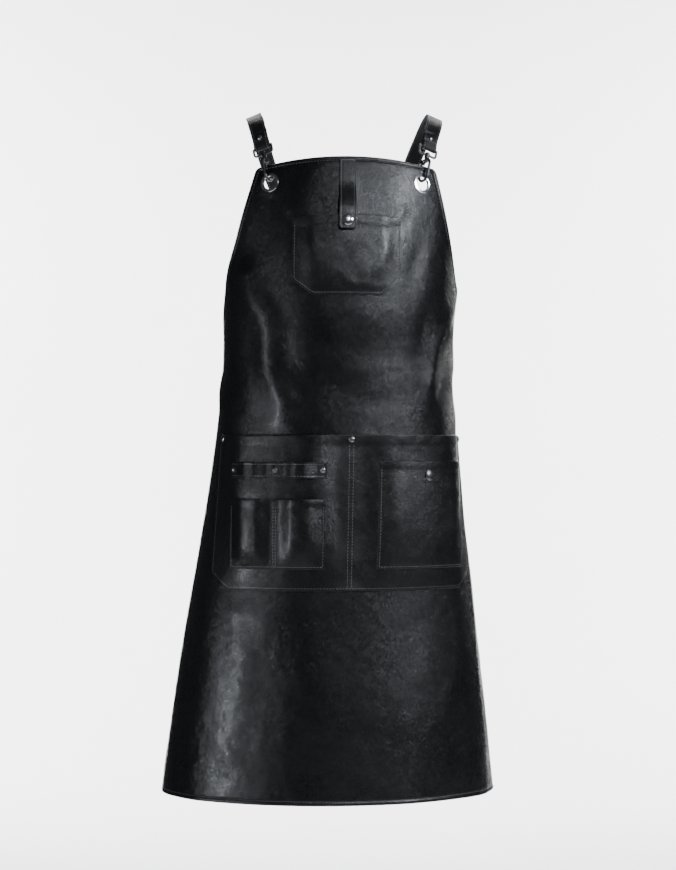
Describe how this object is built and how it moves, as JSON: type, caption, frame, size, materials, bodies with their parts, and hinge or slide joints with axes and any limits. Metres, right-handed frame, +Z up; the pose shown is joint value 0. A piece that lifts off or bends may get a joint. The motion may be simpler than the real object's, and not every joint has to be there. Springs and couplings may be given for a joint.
{
  "type": "bib apron",
  "caption": "Long bib apron in black coated leather with chest, waist, tool and phone pockets, snap-closed chest tab, and crossed straps that clip to eyelets with swivel snap hooks.",
  "frame": {"origin": "midway between the places where the two straps cross the tops of the wearer's shoulders", "axes": "+Z up, -Y to the front of the apron, +X to the viewer's right when facing the apron"},
  "size_m": [0.4326, 0.2822, 0.8787],
  "materials": {
    "black_leather": "satin",
    "strap_leather": "satin",
    "nickel": "polished",
    "gunmetal": "satin"
  },
  "bodies": {
    "apron": {"apron_panel": "black_leather", "bib_edge_hem": "black_leather", "left_edge_hem": "black_leather", "right_edge_hem": "black_leather", "lower_edge_hem": "black_leather", "chest_pocket": "black_leather", "chest_snap_stud": "nickel", "waist_pocket": "black_leather", "tool_pockets": "black_leather", "phone_pocket": "black_leather", "tool_band": "black_leather", "waist_pocket_rivets": "gunmetal", "tool_band_rivets": "gunmetal", "phone_snap_stud": "nickel", "phone_snap_cap": "gunmetal", "left_eyelet": "nickel", "right_eyelet": "nickel", "left_eyelet_washer": "nickel", "right_eyelet_washer": "nickel", "left_strap": "strap_leather", "right_strap": "strap_leather", "left_strap_rivet": "gunmetal", "right_strap_rivet": "gunmetal", "strap_cross_patch": "strap_leather", "strap_cross_rivet": "gunmetal", "left_waist_tab": "strap_leather", "right_waist_tab": "strap_leather", "left_waist_ring": "gunmetal", "right_waist_ring": "gunmetal", "left_tab_rivet": "gunmetal", "right_tab_rivet": "gunmetal"},
    "chest_tab": {"chest_tab": "black_leather", "chest_snap_socket": "nickel", "chest_snap_cap": "nickel"},
    "left_loop": {"left_loop": "gunmetal"},
    "left_hook": {"left_hook": "gunmetal", "left_gate_pin": "nickel"},
    "left_gate": {"left_gate": "gunmetal"},
    "left_keeper": {"left_keeper": "gunmetal"},
    "right_loop": {"right_loop": "gunmetal"},
    "right_hook": {"right_hook": "gunmetal", "right_gate_pin": "nickel"},
    "right_gate": {"right_gate": "gunmetal"},
    "right_keeper": {"right_keeper": "gunmetal"}
  },
  "joints": [
    {"name": "chest_tab_lift", "type": "hinge", "parent": "apron", "child": "chest_tab", "pos_m": [-0.00148, -0.09503, -0.063], "axis": [-1, 0, 0], "range_deg": [0, 100]},
    {"name": "left_loop_tilt", "type": "hinge", "parent": "apron", "child": "left_loop", "pos_m": [-0.10834, -0.06015, -0.0462], "axis": [-0.8593, 0.4114, -0.3041], "range_deg": [-2.2, 3]},
    {"name": "left_hook_swivel", "type": "hinge", "parent": "left_loop", "child": "left_hook", "pos_m": [-0.10117, -0.07146, -0.08176], "axis": [-0.1887, 0.2976, 0.9358], "range_deg": [-15, 15]},
    {"name": "left_gate_open", "type": "hinge", "parent": "left_hook", "child": "left_gate", "pos_m": [-0.10099, -0.06077, -0.06525], "axis": [-0.7949, 0.5133, -0.3235], "range_deg": [0, 10], "stiffness_Nm_per_rad": 0.02, "springref_deg": -17.19},
    {"name": "left_keeper_slide", "type": "slide", "parent": "apron", "child": "left_keeper", "axis": [-0.5065, 0.2424, 0.8275], "range_m": [-0.02, 0.02]},
    {"name": "right_loop_tilt", "type": "hinge", "parent": "apron", "child": "right_loop", "pos_m": [0.10447, -0.06106, -0.046], "axis": [-0.856, -0.4172, 0.3052], "range_deg": [-2.2, 3]},
    {"name": "right_hook_swivel", "type": "hinge", "parent": "right_loop", "child": "right_hook", "pos_m": [0.09692, -0.07168, -0.0817], "axis": [0.1987, 0.2795, 0.9394], "range_deg": [-15, 15]},
    {"name": "right_gate_open", "type": "hinge", "parent": "right_hook", "child": "right_gate", "pos_m": [0.09692, -0.06131, -0.06498], "axis": [-0.7915, -0.5195, 0.322], "range_deg": [0, 10], "stiffness_Nm_per_rad": 0.02, "springref_deg": -17.19},
    {"name": "right_keeper_slide", "type": "slide", "parent": "apron", "child": "right_keeper", "axis": [0.6455, 0.2808, 0.7103], "range_m": [-0.02, 0.02]}
  ]
}
